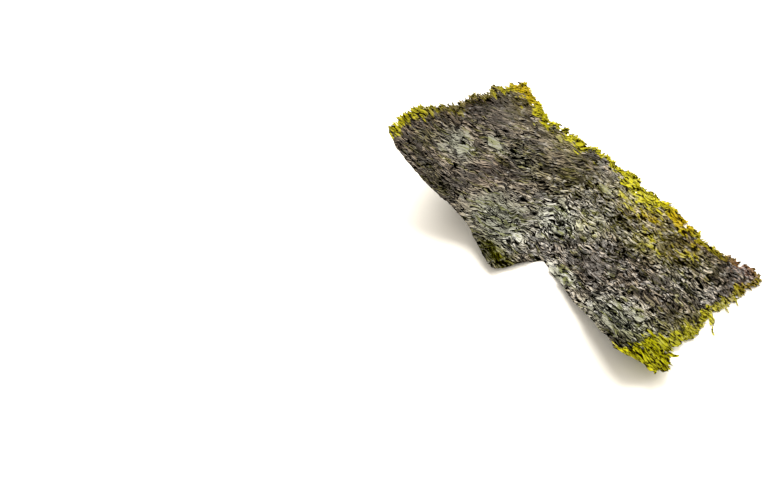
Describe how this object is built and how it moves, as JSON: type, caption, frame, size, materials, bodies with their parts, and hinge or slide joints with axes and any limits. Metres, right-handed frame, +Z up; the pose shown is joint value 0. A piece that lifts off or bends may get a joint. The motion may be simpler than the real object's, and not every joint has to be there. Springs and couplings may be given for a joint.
{
  "type": "seaweed crisp",
  "caption": "Thin, brittle rectangle of roasted seaweed with frayed edges, a curled end and a splinter broken out of its cut side.",
  "frame": {"origin": "middle of the sheet's outline, on the table under it", "axes": "+X along the sheet towards the end that lies flat, +Y across it towards the frayed long side, +Z up"},
  "size_m": [0.095, 0.0527, 0.0231],
  "materials": {
    "roasted_laver": "oiled roasted laver: nearly black green with a dull to glossy sheen, yellow-green where the border is thin"
  },
  "bodies": {
    "root": {"seaweed_sheet": "roasted_laver"}
  },
  "joints": []
}
